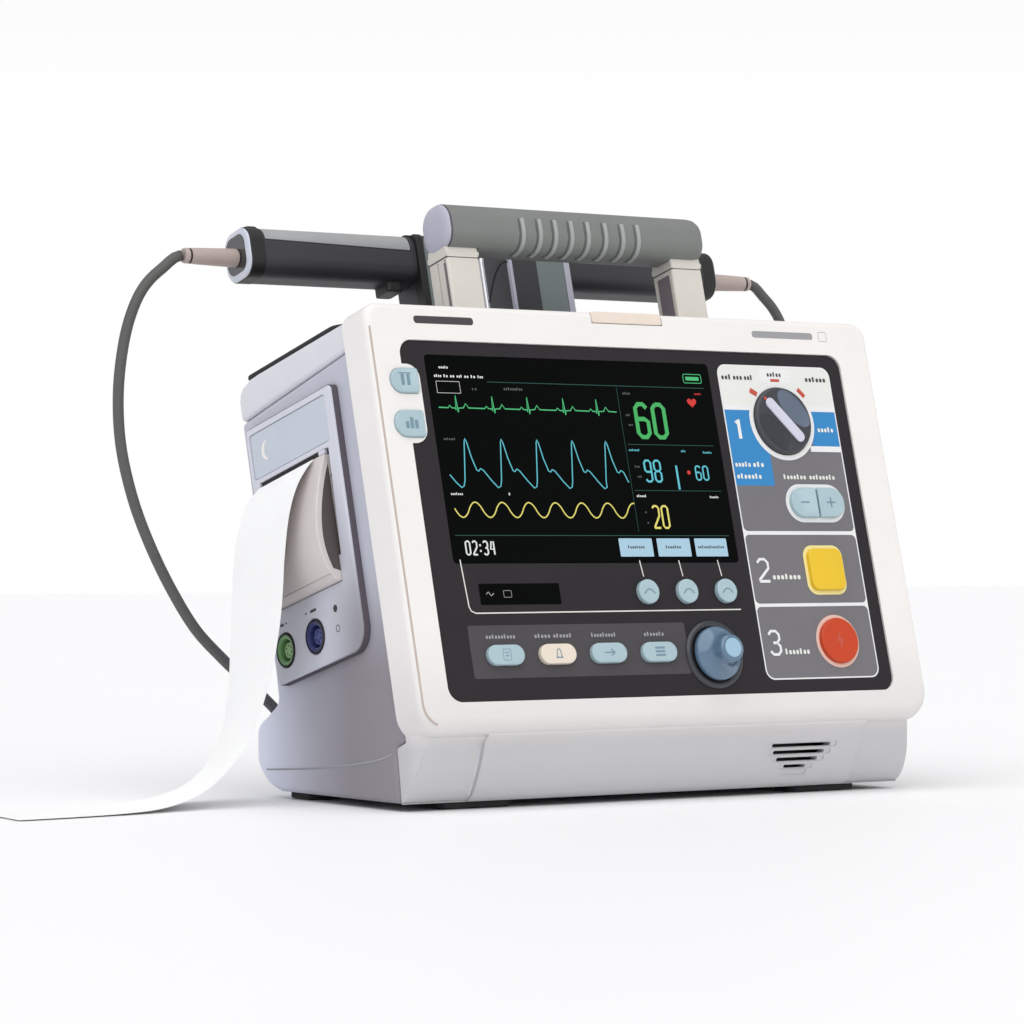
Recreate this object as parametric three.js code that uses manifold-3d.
// Portable monitor-defibrillator with two external paddles, a strip recorder and a rotary mode switch.
// Units are millimetres, +Z up, the device faces -Y and stands on four feet at z = 0.
// The head of the device (front panel, top, side module, handle, paddles) leans back by LEAN.
// In the leaning group x is across, y is the depth behind the front face (w) and z is the distance up the face (v).
import * as THREE from 'three';
import { mergeVertices } from 'three/addons/utils/BufferGeometryUtils.js';
import Module from 'manifold-3d';

const wasm = await Module();
wasm.setup();

// ---------- driving dimensions ----------
const LEAN = 14.795 * Math.PI / 180;    // backward lean of the head
const GAP = 0.3;                        // clearance between neighbouring pieces
const HALF_W = 144;                     // half width of the front housing
const FACE_BOTTOM = 36;                 // v of the front housing's lower edge
const FACE_TOP = 232.5;                 // v of its upper edge
const HOUSING_DEPTH = 20;               // depth of the white front housing
const CASE_HALF = 141.5;                // half width of the rear case
const CASE_BACK = 121;                  // w of the rear wall
const COVER_TOP = 229.7;                // v of the top cover
const MODULE_FACE = -145.5;             // x of the recorder module's outer face
const KEY_PROUD = 1.5;                  // how far the keys stand out
const KEY_BACK = 6;                     // w of the keys' inner ends
const PANEL = [-128, 49.9, 124, 215];   // black control panel: u0, v0, u1, v1
const GRIP_V = [270.7, 293.5];          // handle grip, bottom and top
const GRIP_W = [24.2, 49];              // handle grip, front and back
const PADDLE_V = [278.6, 303.4];        // paddle handle bar
const PADDLE_W = [98.5, 122.5];
const LEAD_R = 2.6;                     // paddle lead radius
const COIL_R = 28;                      // coil radius at the middle of its turns

const S = Math.sin(LEAN), C = Math.cos(LEAN);
const tw = (w, v) => [v * S + w * C, v * C - w * S];   // (w, v) in the leaning frame to world (y, z)

// ---------- outlines ----------
const arc = (cx, cy, r, a0, a1, n) => Array.from({ length: n + 1 }, (_, i) => {
  const a = a0 + (a1 - a0) * i / n;
  return [cx + r * Math.cos(a), cy + r * Math.sin(a)];
});
function rr(x0, y0, x1, y1, r = 0, n = 3) {
  const [bl, br, tr, tl] = Array.isArray(r) ? r : [r, r, r, r];
  const q = Math.PI / 2;
  const corner = (x, y, rad, a) => rad > 0 ? arc(x, y, rad, a, a + q, n) : [[x, y]];
  return [
    ...corner(x0 + bl, y0 + bl, bl, Math.PI), ...corner(x1 - br, y0 + br, br, 1.5 * Math.PI),
    ...corner(x1 - tr, y1 - tr, tr, 0), ...corner(x0 + tl, y1 - tl, tl, q),
  ];
}
const disc = (cx, cy, r, n = 16) => arc(cx, cy, r, 0, 2 * Math.PI * (n - 1) / n, n - 1);
function tidy(points) {
  const out = [];
  for (const p of points) {
    const l = out[out.length - 1];
    if (!l || Math.hypot(p[0] - l[0], p[1] - l[1]) > 1e-3) out.push(p);
  }
  while (out.length > 3 && Math.hypot(out[0][0] - out[out.length - 1][0], out[0][1] - out[out.length - 1][1]) < 1e-3) out.pop();
  return out.map(([x, y]) => new THREE.Vector2(x, y));
}

// ---------- solids ----------
function clean(geometry) {
  let g = geometry.clone();
  g.deleteAttribute('normal');
  g.deleteAttribute('uv');
  if (!g.index) g.setIndex([...Array(g.attributes.position.count).keys()]);
  g = mergeVertices(g, 1e-4);
  const p = g.attributes.position, kept = [];
  const a = new THREE.Vector3(), b = new THREE.Vector3(), c = new THREE.Vector3();
  let volume = 0;
  for (let i = 0; i < g.index.count; i += 3) {
    const [j, k, l] = [g.index.getX(i), g.index.getX(i + 1), g.index.getX(i + 2)];
    if (j === k || k === l || l === j) continue;
    kept.push(j, k, l);
    a.fromBufferAttribute(p, j); b.fromBufferAttribute(p, k); c.fromBufferAttribute(p, l);
    volume += a.dot(b.clone().cross(c));
  }
  if (volume < 0) for (let i = 0; i < kept.length; i += 3) [kept[i], kept[i + 1]] = [kept[i + 1], kept[i]];
  g.setIndex(kept);
  return g;
}
function extrude(points, depth, bevel = 0, segments = 1) {
  return new THREE.ExtrudeGeometry(new THREE.Shape(tidy(points)), bevel
    ? { depth: depth - 2 * bevel, bevelEnabled: true, bevelThickness: bevel, bevelSize: bevel, bevelOffset: -bevel, bevelSegments: segments, steps: 1 }
    : { depth, bevelEnabled: false, steps: 1 });
}
// outline in (u, v), running from depth w0 to w1
function front(points, w0, w1, bevel = 0, segments = 1) {
  const g = extrude(points, w1 - w0, bevel, segments);
  g.translate(0, 0, bevel);
  g.rotateX(Math.PI / 2);
  g.translate(0, w1, 0);
  return g;
}
// outline in (depth, height), running from x0 to x1
function side(points, x0, x1, bevel = 0, segments = 1) {
  const g = extrude(points, x1 - x0, bevel, segments);
  g.translate(0, 0, bevel);
  g.applyMatrix4(new THREE.Matrix4().makeBasis(new THREE.Vector3(0, 1, 0), new THREE.Vector3(0, 0, 1), new THREE.Vector3(1, 0, 0)));
  g.translate(x0, 0, 0);
  return g;
}
// outline in (x, y), running from z0 to z1
function up(points, z0, z1, bevel = 0) {
  const g = extrude(points, z1 - z0, bevel);
  g.translate(0, 0, z0 + bevel);
  return g;
}
const lathe = (points, n = 20) => new THREE.LatheGeometry(points.map(([x, y]) => new THREE.Vector2(x, y)), n);
const box = (x0, y0, z0, x1, y1, z1) => new THREE.BoxGeometry(x1 - x0, y1 - y0, z1 - z0).translate((x0 + x1) / 2, (y0 + y1) / 2, (z0 + z1) / 2);
const leanMatrix = new THREE.Matrix4().makeRotationX(-LEAN);
const L = (g) => g.clone().applyMatrix4(leanMatrix);      // a leaning-frame shape in world axes

function solid(g) {
  if (g instanceof wasm.Manifold) return g;
  const c = clean(g);
  return new wasm.Manifold(new wasm.Mesh({ numProp: 3, vertProperties: new Float32Array(c.attributes.position.array), triVerts: new Uint32Array(c.index.array) }));
}
const join = (...gs) => gs.map(solid).reduce((a, b) => a.add(b));
const cut = (a, ...gs) => gs.map(solid).reduce((x, y) => x.subtract(y), solid(a));
const meet = (a, b) => solid(a).intersect(solid(b));
function shape(m) {
  if (!(m instanceof wasm.Manifold)) return clean(m);
  const mesh = m.getMesh(), stride = mesh.numProp, count = mesh.vertProperties.length / stride;
  const position = new Float32Array(count * 3);
  for (let i = 0; i < count; i++) for (let k = 0; k < 3; k++) position[3 * i + k] = mesh.vertProperties[i * stride + k];
  const g = new THREE.BufferGeometry();
  g.setAttribute('position', new THREE.BufferAttribute(position, 3));
  g.setIndex([...mesh.triVerts]);
  return clean(g);
}

// ---------- scene graph ----------
const device = new THREE.Group();
const base = new THREE.Group();        // upright pieces
const head = new THREE.Group();        // pieces that lean back with the front face
head.rotation.x = -LEAN;
device.add(base, head);
const cordNodes = new Set();
function add(group, name, geometry, color, roughness = 0.5, metalness = 0, position = null) {
  const g = shape(geometry);
  g.computeVertexNormals();
  const mesh = new THREE.Mesh(g, new THREE.MeshStandardMaterial({ color, roughness, metalness }));
  mesh.name = name;
  if (position) mesh.position.set(...position);
  group.add(mesh);
  return mesh;
}

// ---------- front housing, with the chin that rolls under ----------
const tab = rr(-140, 167.2, -119.6, 203.8, 6.5);
const keys = {
  side_key_upper: rr(-135.5, 190.1, -121, 201.7, [5.7, 1.6, 1.6, 5.7]),
  side_key_lower: rr(-136.4, 169.8, -121, 182.2, [6.1, 1.6, 1.6, 6.1]),
  soft_key_left: disc(-12.2, 98.4, 5.7),
  soft_key_middle: disc(10.1, 98.4, 5.7),
  soft_key_right: disc(32.6, 98.4, 5.7),
  record_key: rr(-105.3, 65.6, -85.9, 74.8, 4.6),
  alarm_pause_key: rr(-77.3, 65.6, -57.9, 74.8, 4.6),
  event_key: rr(-49.3, 65.6, -29.9, 74.8, 4.6),
  menu_key: rr(-21.1, 65.6, -1.7, 74.8, 4.6),
  energy_down_key: rr(79.5, 133.8, 95.1, 148.4, [7.2, 0.8, 0.8, 7.2]),
  energy_up_key: rr(96.1, 133.8, 111.5, 148.4, [0.8, 7.2, 7.2, 0.8]),
  charge_key: rr(84.1, 98.3, 104.3, 118.5, 4),
  shock_key: disc(94.7, 73.8, 10.9, 20),
};
const grow = (points, d) => {      // an outline moved outward by d
  const n = points.length, v = tidy(points), out = [];
  for (let i = 0; i < v.length; i++) {
    const p = v[(i + v.length - 1) % v.length], q = v[i], r = v[(i + 1) % v.length];
    const a = new THREE.Vector2(q.y - p.y, p.x - q.x).normalize(), b = new THREE.Vector2(r.y - q.y, q.x - r.x).normalize();
    const m = a.clone().add(b), k = d / Math.max(0.3, m.lengthSq() / 2);
    out.push([q.x + m.x / 2 * k, q.y + m.y / 2 * k]);
  }
  return out;
};
{
  const roll = [[14, 44], [14, 33], [17, 29.5], [18, 26], [20, 20], [22.6, 14], [25.3, 8.6], [28, 4.9], [31.2, 3], [32.35, 3], [34.2, 16], [36, 27.3], [29.05, 30.1], [31.4, 44]];
  const back = roll.map(([y, z], i) => (i < 8 ? [y + 1.5, z + (i > 5 ? 0.3 : 0)] : [y, z]));
  const middle = L(front(rr(-HALF_W, FACE_BOTTOM, HALF_W, FACE_TOP, [12, 12, 8, 8], 4), -2.5, HOUSING_DEPTH + 5, 2.5, 2).translate(0, 2.5, 0));
  const slab = L(box(-200, -5, 0, 200, HOUSING_DEPTH, 300));
  const corners = meet(side(back, -140.5, 140.5), up(rr(-140.5, 16.2, 140.5, 120, [11, 11, 0, 0], 4), 0, 60));
  let housing = join(meet(middle, slab), corners, side(roll, -107, 107));
  const cavity = [
    L(front(rr(-139.5, 42, 139.5, 228.5, 5), 5.5, 60)),
    side([[60, 10], [60, 44], [24, 44], [23, 30], [26, 18], [29, 10]], -136.5, 136.5),
  ];
  const window = cut(front(rr(PANEL[0] - GAP, PANEL[1] - GAP, PANEL[2] + GAP, PANEL[3] + GAP, 7), -6, 8), front(tab, -7, 9));
  const slots = [[55.1, 90.1, 23.1, 1.7], [56.6, 87.1, 19.8, 1.7], [59.6, 84.1, 16.4, 1.7], [65.1, 78.1, 13, 1.5]]
    .map(([x0, x1, z, h]) => box(x0, 5, z - h / 2, x1, 34, z + h / 2));
  housing = cut(housing, ...cavity, solid(window).transform(leanMatrix.elements),
    ...['side_key_upper', 'side_key_lower'].map((k) => L(front(grow(keys[k], 0.4), -6, 8))),
    L(box(-20.4, -4, 226.4, 20.4, 10.4, 240)), ...slots);
  add(base, 'front_bezel', housing, 0xece8e3, 0.45);
}

// ---------- control panel, display, keys ----------
{
  const holes = Object.entries(keys).filter(([k]) => !k.startsWith('side_key')).map(([, p]) => front(grow(p, 0.4), -3, 8));
  const panel = cut(front(rr(...PANEL, 7), 0.9, 3.9), front(grow(tab, GAP), -3, 8), front(rr(-115.3, 112.2, 43.8, 208.8, 2), -3, 8),
    front(disc(83.15, 181.4, 4.4), -3, 8), front(disc(20.5, 68.5, 3.6, 12), -3, 8), ...holes);
  add(head, 'control_panel', panel, 0x2d2a2e, 0.35);
  add(head, 'display_window', front(rr(-115, 112.5, 43.5, 208.5, 2), 0.9, 2.6), 0x0a0a0c, 0.1);
  add(head, 'display_module', cut(front(rr(-118.4, 108.5, 47.4, 212, 1), 4.3, 12.5), box(-100, 9, 120, 30, 14, 200)), 0x20242a, 0.4, 0.3);
}
const keyColors = { charge_key: 0xe8c22c, shock_key: 0xd0541f, alarm_pause_key: 0xe2d2c2 };
for (const [name, outline] of Object.entries(keys)) {
  add(head, name, front(outline, -KEY_PROUD, KEY_BACK, 0.6), keyColors[name] ?? 0xb2c8cd, 0.4);
}
// alarm lamp set in the top front edge
add(head, 'alarm_lamp', front(rr(-20, 226.8, 20, 232.3, 0.8), -0.2, 10, 0.5), 0xebdecd, 0.3);
// loudspeaker behind the grille in the chin
add(base, 'loudspeaker', lathe([[0, 30], [11.5, 30], [11.5, 31.5], [6, 40], [6, 44], [0, 44]], 16).translate(72.1, 4, 20.5), 0x2b2b2d, 0.6);

// ---------- rotary controls ----------
const MODE = [83.15, 181.4], POINTER = 42 * Math.PI / 180;
{
  // low disc with a finger scoop on each side of a bar across its middle
  const disk = lathe([[0, -1.5], [15.6, -1.5], [16.3, -1], [16.5, 0.5], [4, 0.5], [4, 13], [0, 13]], 28);
  const body = join(disk, box(-2.7, -2.5, -13.6, 2.7, -1, 13.6).rotateY(-POINTER));
  const scoops = [-1, 1].map((s) => new THREE.SphereGeometry(1, 16, 10).scale(5.9, 1.5, 11.6).translate(s * 9, -1.7, 0).rotateY(-POINTER));
  add(head, 'mode_knob', cut(body, ...scoops), 0x3a3a3e, 0.45, 0, [MODE[0], 0, MODE[1]]);
  add(head, 'nav_shaft', lathe([[0, -6.8], [3, -6.8], [3, 13], [0, 13]], 12), 0x9a9a9a, 0.3, 0.8, [20.5, 0, 68.5]);
  add(head, 'nav_knob', lathe([[0, -14], [5.6, -14], [6.4, -13.2], [6.9, -9.5], [8.2, -6.4], [11.4, -4.2], [12.6, -3], [12.6, -1.4], [3.3, -1.4], [3.3, -9], [0, -9]], 24), 0x6b8296, 0.35, 0, [20.5, 0, 68.5]);
}

// ---------- rear case and top cover ----------
const caseOuter = [tw(20.4, 216.8), tw(20.4, 36.9), [36.3, 27.6], [32.8, 3.1], [46, 3], [136, 3], [145, 5.4], [151, 9.5], [155.4, 14.1], [156.6, 20], [156.8, 29.5], [153.5, 34], [147.2, 37.6], [137.4, 44], tw(CASE_BACK, 90), tw(CASE_BACK, 211), tw(27.3, 216)];
const caseInner = [tw(-30, 260), tw(-30, 39.5), [20, 31], [20, 6], [46, 6], [135.6, 6], [143.8, 8.3], [149.2, 12], [152.6, 15.6], [153.6, 20.5], [153.7, 28], [150.8, 31.6], [145.8, 34.9], [134.4, 43], tw(CASE_BACK - 3, 90), tw(CASE_BACK - 3, 260)];
{
  const shell = cut(side(caseOuter, -CASE_HALF, CASE_HALF, 2.2, 1), side(caseInner, -CASE_HALF + 3, CASE_HALF - 3),
    L(box(-160, 34, 82.5, -130, 112.4, 205)),                    // recorder module
    L(box(-50.5, 100, 87.5, 50.5, 140, 128.5)),                  // battery bay
    L(box(69.5, 100, 119.5, 98.5, 140, 142.5)),                  // mains inlet
    L(box(130, 77.5, 59.5, 160, 104.5, 82.5)));                  // therapy connector
  add(base, 'rear_case', shell, 0xc0c2ce, 0.5);
}
{
  const outer = [[20.4, 217.2], [27.2, 216.4], [CASE_BACK, 211.4], [CASE_BACK, 221.5], [116.5, 227.4], [109.5, 229.4], [102.5, COVER_TOP], [20.4, COVER_TOP]];
  const inner = [[23.4, 200], [CASE_BACK - 3, 200], [CASE_BACK - 3, 220], [114, 225], [107.5, 226.7], [23.4, 226.7]];
  const cover = cut(side(outer, -CASE_HALF, CASE_HALF, 1.5, 1), side(inner, -CASE_HALF + 3, CASE_HALF - 3),
    box(-74.5, 30.5, 190, -55.5, 47.5, 240), box(55.5, 30.5, 190, 74.5, 47.5, 240));
  add(head, 'top_cover', cover, 0xe2e2e6, 0.5);
}
add(head, 'paddle_tray', cut(up(rr(-138, 34, 138, 119.5, 6), 230, 233.2), box(-82, 20, 225, 82, 50.5, 240)), 0x2e2e30, 0.8);

// ---------- carrying handle ----------
{
  const legs = [-1, 1].map((s) => side(rr(31, 223, 47, 274, 1.5, 2), s * 65 - 9, s * 65 + 9));
  add(head, 'handle_frame', join(...legs, box(-74, 31, 222.2, 74, 47, 225.8)), 0xe4e0d8, 0.45);
  const grip = side(rr(GRIP_W[0], GRIP_V[0], GRIP_W[1], GRIP_V[1], 8.6, 3), -75.4, 75.4, 5, 2);
  add(head, 'handle_grip', cut(grip, ...[-1, 1].map((s) => side(rr(30.6, 260, 47.4, 274.5, 1.5, 2), s * 65 - 9.4, s * 65 + 9.4))), 0x868886, 0.7);
}

// ---------- recorder module on the left side ----------
const DOOR_W = [46, 104.4], DOOR_V = [116.4, 175.2], SLOT_V = 176.4;
{
  const block = side(rr(34.5, 83, 112, 204.5, [11, 3, 3, 3]), MODULE_FACE, -112);
  const bay = join(box(-150, 45.6, 116, -115, 104.8, 177.6), box(-142.5, 38, 181, -111, 108.5, 201.5), box(-132.5, 38, 86, -111, 108.5, 112.5));
  const bores = [101.4, 74.6].map((w) => side(disc(w, 97.4, 8.3), -150, -133));
  add(head, 'side_module', cut(block, bay, ...bores, box(-150, 40.7, 128, -136, 46.2, 175.5)), 0xd3d5de, 0.5);
  // outward-bulging door, hollow behind, hinged along its lower edge
  const rim = [[-145.4, 116.4], [-148.5, 117], [-152, 122], [-154.6, 131], [-155, 141], [-153.4, 152], [-150.4, 163], [-147.4, 171], [-145.9, 175.2], [-142.6, 175.2], [-142.6, 116.4]];
  const hollow = [[-142, 119], [-146, 119.5], [-149.6, 124], [-152, 132], [-152.4, 141], [-150.8, 151], [-147.8, 162], [-144.8, 170], [-143.8, 173], [-142, 173]];
  const along = (pts, w0, w1, bevel = 0) => { const g = front(pts, w0, w1, bevel); return g; };
  const lip = (p) => p.map(([x, v]) => [x, v]);
  add(head, 'recorder_door', cut(along(lip(rim), DOOR_W[0], DOOR_W[1], 1), along(lip(hollow), DOOR_W[0] + 2.4, DOOR_W[1] - 2.4)), 0xd9d0cd, 0.5);
  add(head, 'recorder_latch', box(-144.9, 41.1, 158.5, -138.6, 44.9, 173), 0x5f5656, 0.6);
  add(head, 'paper_roll', lathe([[6, 0], [13.4, 0], [13.4, 50], [6, 50], [6, 0]], 20).translate(-129.2, 52.5, 146), 0xf4f4f2, 0.8);
  const socket = (w) => side(disc(w, 97.4, 8), -146.3, -133.6);
  const well = (w) => side(disc(w, 97.4, 5.2), -150, -137);
  add(head, 'ecg_socket', cut(socket(101.4), well(101.4)), 0x78a56e, 0.45);
  add(head, 'spo2_socket', cut(socket(74.6), well(74.6)), 0x373c6e, 0.45);
}

// ---------- thermal paper strip, 50 mm wide, from the slot down to the floor ----------
const PAPER = [   // centre x, y, z, then the direction from the front edge to the rear edge
  [-146.8, 121.2, 148.6, 0, 0.967, -0.255], [-149.8, 121.1, 145.4, 0.02, 0.972, -0.23], [-154.6, 120.9, 138.8, 0.05, 0.985, -0.15],
  [-158.6, 120.5, 127.5, 0.07, 0.99, -0.08], [-161.4, 120.3, 111, 0.06, 0.995, -0.02], [-162.8, 120, 90, 0.06, 0.998, 0], [-165, 119.6, 69, 0.1, 0.995, 0],
  [-168.4, 119, 50, 0.18, 0.984, 0], [-174.2, 118, 33, 0.25, 0.968, 0], [-182.8, 117, 19.5, 0.3, 0.954, 0], [-194.4, 115.5, 9.6, 0.33, 0.944, 0],
  [-207.6, 113.5, 4.4, 0.33, 0.944, 0], [-224.4, 111, 1.8, 0.26, 0.965, 0], [-245, 108.5, 0.9, 0.18, 0.98, 0], [-270, 106, 0.7, 0.12, 0.99, 0], [-300, 104, 0.7, 0.1, 0.99, 0],
];
{
  const width = 50, thick = 0.5, rings = [];
  const at = (i) => new THREE.Vector3(...PAPER[Math.max(0, Math.min(PAPER.length - 1, i))].slice(0, 3));
  for (let i = 0; i < PAPER.length; i++) {
    const across = new THREE.Vector3(...PAPER[i].slice(3)).normalize();
    const along = at(i + 1).sub(at(i - 1)).normalize();
    const normal = new THREE.Vector3().crossVectors(across, along).normalize().multiplyScalar(thick / 2);
    across.multiplyScalar(width / 2);
    for (const [a, n] of [[-1, -1], [1, -1], [1, 1], [-1, 1]]) rings.push(at(i).addScaledVector(across, a).addScaledVector(normal, n));
  }
  const g = new THREE.BufferGeometry().setFromPoints(rings), idx = [];
  for (let i = 0; i + 1 < PAPER.length; i++) for (let k = 0; k < 4; k++) {
    const a = 4 * i + k, b = 4 * i + (k + 1) % 4, c = a + 4, d = b + 4;
    idx.push(a, b, d, a, d, c);
  }
  const e = 4 * (PAPER.length - 1);
  idx.push(0, 2, 1, 0, 3, 2, e, e + 1, e + 2, e, e + 2, e + 3);
  g.setIndex(idx);
  add(base, 'paper_strip', g, 0xf2f2f0, 0.8);
}

// ---------- rear and right side: battery, mains inlet, therapy connector ----------
add(head, 'battery_pack', side(rr(68, 88, CASE_BACK, 128, 2, 2), -50, 50), 0x4a4c52, 0.6);
add(head, 'mains_inlet', cut(side(rr(98, 120, CASE_BACK + 0.5, 142), 70, 98), box(73.5, 103, 124, 94.5, 130, 138)), 0x1c1c1e, 0.5);
add(head, 'therapy_socket', cut(box(119, 78, 60, 142.2, 104, 82), box(124, 82, 64, 150, 100, 78)), 0x26262a, 0.5);
add(head, 'therapy_plug', join(side(rr(79, 61, 103, 81, 4), 142.6, 170, 1), box(125, 82.6, 64.6, 146, 99.4, 77.4)), 0x3c3d42, 0.55);

// ---------- paddles ----------
for (const [s, sideName] of [[-1, 'left'], [1, 'right']]) {
  const mx = (a, b) => (s < 0 ? [-b, -a] : [a, b]);
  const [h0, h1] = mx(42, 138.5), [b0, b1] = mx(8.5, 44.5);
  const bar = side(rr(PADDLE_W[0], PADDLE_V[0], PADDLE_W[1], PADDLE_V[1], 7, 3), h0, h1, 2.5);
  const block = side(rr(97, 241, 121, 303, 5, 2), b0, b1, 1.5);
  const [c0, c1] = mx(38, 60);
  const neck = side(rr(PADDLE_W[0] + 1.5, PADDLE_V[0] + 1.5, PADDLE_W[1] - 2, PADDLE_V[1] - 1, 5, 2), c0, c1);
  const [e0, e1] = mx(8, 101);
  const foot = up(rr(e0, 52, e1, 121.5, 8, 2), 236.4, 242, 1);
  const [u0, u1] = mx(127.5, 135.5);
  add(head, `${sideName}_paddle_shell`, cut(join(bar, block, neck, foot), box(u0, 104, 297, u1, 117, 310)), 0x38383c, 0.6);
  add(head, `${sideName}_discharge_button`, up(rr(u0 + 0.4, 104.4, u1 - 0.4, 116.6, 2, 2), 299.2, 305.2, 0.8), 0x1d1d1f, 0.5);
  add(head, `${sideName}_electrode`, up(rr(e0 + 3, 55, e1 - 3, 118.5, 7, 2), 233.6, 236, 0.5), 0xb9bbbf, 0.35, 0.8);
  // tapered strain relief at the outer end of the bar
  const relief = lathe([[0, 0], [4.5, 0], [4.3, 8], [3.7, 28.3], [0, 28.3]], 12).rotateZ(s < 0 ? Math.PI / 2 : -Math.PI / 2);
  add(head, `${sideName}_strain_relief`, relief, 0x968a82, 0.7, 0, [s * 138.9, 110.6, 289.6]);
}

// ---------- paddle leads: each hangs in an arc beside the case, lies on the floor behind it, is coiled there and ends in the therapy plug ----------
const EXIT = (s) => [s * 168.4, 110.6 * C + 289.6 * S, 289.6 * C - 110.6 * S];
const COIL = { left: { x: -8, y: 226 }, right: { x: 76, y: 232 } };
const COIL_IN = COIL_R - 5.7, COIL_OUT = COIL_R + 5.9, COIL_H = 22.6;    // two turns wide, four high
const HANG = [[-171.6, -1.2], [-177.7, -6.2], [-184, -11.6], [-189.6, -19], [-195.5, -33.4], [-199.4, -54.4], [-200.2, -72.9], [-198.1, -91.4], [-191.8, -114.5], [-182.8, -135.4], [-171.1, -156.4], [-157.8, -175.3], [-144.3, -188.2], [-131.5, -199], [-120.3, -208.1], [-112.6, -215]];
const tube = (path, r, sides = 8) => {       // closed tube along a smooth curve through the points
  const curve = new THREE.CatmullRomCurve3(path.map((p) => new THREE.Vector3(...p)), false, 'centripetal');
  const steps = Math.max(8, Math.min(80, Math.round(curve.getLength() / (6 * r))));
  return new THREE.ExtrudeGeometry(new THREE.Shape(tidy(disc(0, 0, r, sides))), { steps, bevelEnabled: false, extrudePath: curve });
};
const FLOOR = LEAD_R + 0.3;
const ROUTE = {
  left: {
    tail: [[-101, 8, 26.5], [-88, 12, 17.5], [-73, 15, 9.5], [-58, 16.8, 4.6], [-43, 16.2, FLOOR], [-28.3, 14.7, FLOOR]],
    plugX: 151,
    lower: [[151, 139, 35], [150.5, 151, 26], [148, 163, 15.5], [140, 173.5, 7], [126, 179, FLOOR + 0.4], [108, 180, FLOOR], [88, 178.5, FLOOR], [68, 180, FLOOR + 0.6], [50, 184.5, 4.6], [34, 190, 9], [22, 193.6, 14.2], [12.5, 195, 18]],
  },
  right: {
    tail: [[108.6, 8.4, 22], [106.8, 12.4, 10.5], [106.6, 18.4, 4.8], [107, 25.1, FLOOR], [107.2, 29.5, FLOOR]],
    plugX: 162,
    lower: [[162, 139, 35], [162.3, 151, 26], [162.5, 164, 15.5], [162, 179, 7], [160.6, 198, FLOOR + 0.3], [159.5, 218, FLOOR], [158.5, 238, FLOOR], [156.8, 252.5, FLOOR], [151.2, 265.5, 3.6], [142, 274, 5.2], [131, 277, 8], [119.5, 273.5, 11.5], [110.8, 264.5, 15], [107.3, 252.5, 18]],
  },
};
for (const s of [-1, 1]) {
  const name = s < 0 ? 'left' : 'right', [ex, ey, ez] = EXIT(s), coil = COIL[name], route = ROUTE[name];
  const upper = [[ex, ey, ez], ...HANG.map(([x, dz], i) => [-s * x, ey + 0.35 * i, ez + dz]), ...route.tail.map(([x, dy, z]) => [x, ey + dy, z])];
  cordNodes.add(`${name}_lead_upper`);
  add(base, `${name}_lead_upper`, tube(upper, LEAD_R), 0x6e6e6c, 0.6);
  cordNodes.add(`${name}_lead_coil`);
  add(base, `${name}_lead_coil`, lathe([[COIL_IN, 0.3], [COIL_OUT, 0.3], [COIL_OUT, COIL_H], [COIL_IN, COIL_H], [COIL_IN, 0.3]], 24).rotateX(Math.PI / 2), 0x6e6e6c, 0.6, 0, [coil.x, coil.y, 0]);
  const [py, pz] = tw(103.3, 71), out = 13;
  const lower = [[route.plugX, py, pz], [route.plugX, py + 4 * C, pz - 4 * S], [route.plugX, py + out * C, pz - out * S], ...route.lower];
  cordNodes.add(`${name}_lead_lower`);
  add(base, `${name}_lead_lower`, tube(lower, LEAD_R), 0x6e6e6c, 0.6);
}

// ---------- feet ----------
for (const [name, x0, x1, y0, y1] of [['foot_front_left', -118, -80, 34.5, 52], ['foot_front_right', 80, 118, 34.5, 52], ['foot_rear_left', -136, -106, 117, 137], ['foot_rear_right', 106, 136, 117, 137]]) {
  add(base, name, up(rr(x0, y0, x1, y1, 4), 0, 2.7), 0x2a2a2a, 0.85);
}

// ---------- inside: chassis, boards, power supply, discharge capacitor ----------
add(head, 'chassis', cut(box(-132, 22, 46, 132, 60, 214), box(-130.8, 23.2, 47.2, 130.8, 70, 212.8), box(-80, 20, 70, 80, 30, 190), box(-140, 34, 80, -100, 70, 215), box(-76, 28, 205, 76, 50, 230)), 0xb4b8bc, 0.4, 0.8);
add(head, 'main_board', cut(front(rr(-118, 52, 118, 206, 4), 16, 17.6), box(15, 10, 63, 26, 20, 74), box(78, 10, 176, 88, 20, 187)), 0x1f5a38, 0.6);
add(head, 'power_supply', cut(box(-20, 64, 150, 60, 104, 190), box(-18, 66, 152, 58, 102, 195)), 0xa7abae, 0.4, 0.7);
add(head, 'discharge_capacitor', side(disc(84, 106, 20, 20), -108, -56, 2), 0x26303e, 0.4, 0.2);

// ---------- origin: centre of the footprint of everything but the leads, on the floor ----------
device.updateMatrixWorld(true);
const extent = new THREE.Box3();
device.traverse((o) => { if (o.isMesh && !cordNodes.has(o.name)) extent.union(new THREE.Box3().setFromObject(o, true)); });
device.position.set(-(extent.min.x + extent.max.x) / 2, -(extent.min.y + extent.max.y) / 2, -extent.min.z);

export default device;
